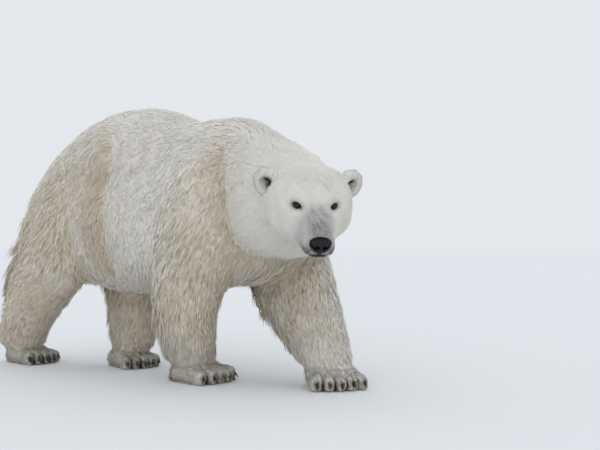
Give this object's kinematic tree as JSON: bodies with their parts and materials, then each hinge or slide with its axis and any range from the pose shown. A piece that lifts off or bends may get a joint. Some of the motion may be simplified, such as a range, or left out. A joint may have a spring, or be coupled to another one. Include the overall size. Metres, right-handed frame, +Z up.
{
  "type": "polar bear",
  "caption": "Life-size walking polar bear with a thick cream coat, head turned to its right, standing on four broad clawed paws.",
  "frame": {"origin": "on the floor, under the middle of the model's box", "axes": "+Z up; the bear faces -Y and its left side is towards +X"},
  "size_m": [0.9186, 2.4244, 1.3343],
  "materials": {
    "coat": "matte, thick fur",
    "paw_coat": "matte, matted short fur",
    "nose": "moist, fine pebbled",
    "eye": "glossy, wet",
    "claw": "satin horn"
  },
  "bodies": {
    "root": {"ear_left": "coat", "ear_right": "coat", "eye_left": "eye", "eye_right": "eye", "foreclaw_left_1": "claw", "foreclaw_left_2": "claw", "foreclaw_left_3": "claw", "foreclaw_left_4": "claw", "foreclaw_left_5": "claw", "foreclaw_right_1": "claw", "foreclaw_right_2": "claw", "foreclaw_right_3": "claw", "foreclaw_right_4": "claw", "foreclaw_right_5": "claw", "foreleg_left": "coat", "foreleg_right": "coat", "forepaw_left": "paw_coat", "forepaw_right": "paw_coat", "head": "coat", "hindclaw_left_1": "claw", "hindclaw_left_2": "claw", "hindclaw_left_3": "claw", "hindclaw_left_4": "claw", "hindclaw_left_5": "claw", "hindclaw_right_1": "claw", "hindclaw_right_2": "claw", "hindclaw_right_3": "claw", "hindclaw_right_4": "claw", "hindclaw_right_5": "claw", "hindleg_left": "coat", "hindleg_right": "coat", "hindpaw_left": "paw_coat", "hindpaw_right": "paw_coat", "neck": "coat", "nose": "nose", "tail": "coat", "trunk": "coat"}
  },
  "joints": []
}
